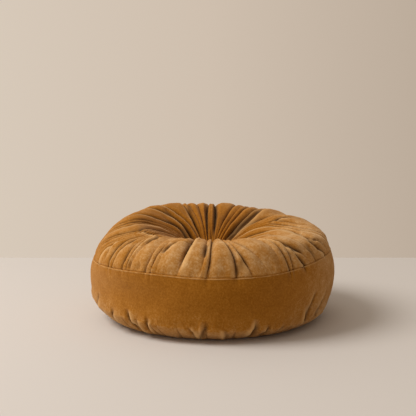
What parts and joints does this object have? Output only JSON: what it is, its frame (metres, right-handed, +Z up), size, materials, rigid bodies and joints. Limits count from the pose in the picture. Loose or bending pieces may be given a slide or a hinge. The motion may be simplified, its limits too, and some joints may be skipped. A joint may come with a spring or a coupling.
{
  "type": "round floor cushion",
  "caption": "Round velvet floor cushion with a top gathered in uneven pleats into a deep central pull, a plain side band and a gathered base.",
  "frame": {"origin": "centre of the cushion's outline, on the surface that it rests on", "axes": "+Z up through the pull in the top, -Y towards the side seen in the picture, +X to that view's right"},
  "size_m": [0.4917, 0.4885, 0.2061],
  "materials": {
    "velvet": "ochre cotton velvet, short upright pile with a soft sheen and darker and lighter nap"
  },
  "bodies": {
    "root": {"cushion": "velvet"}
  },
  "joints": []
}
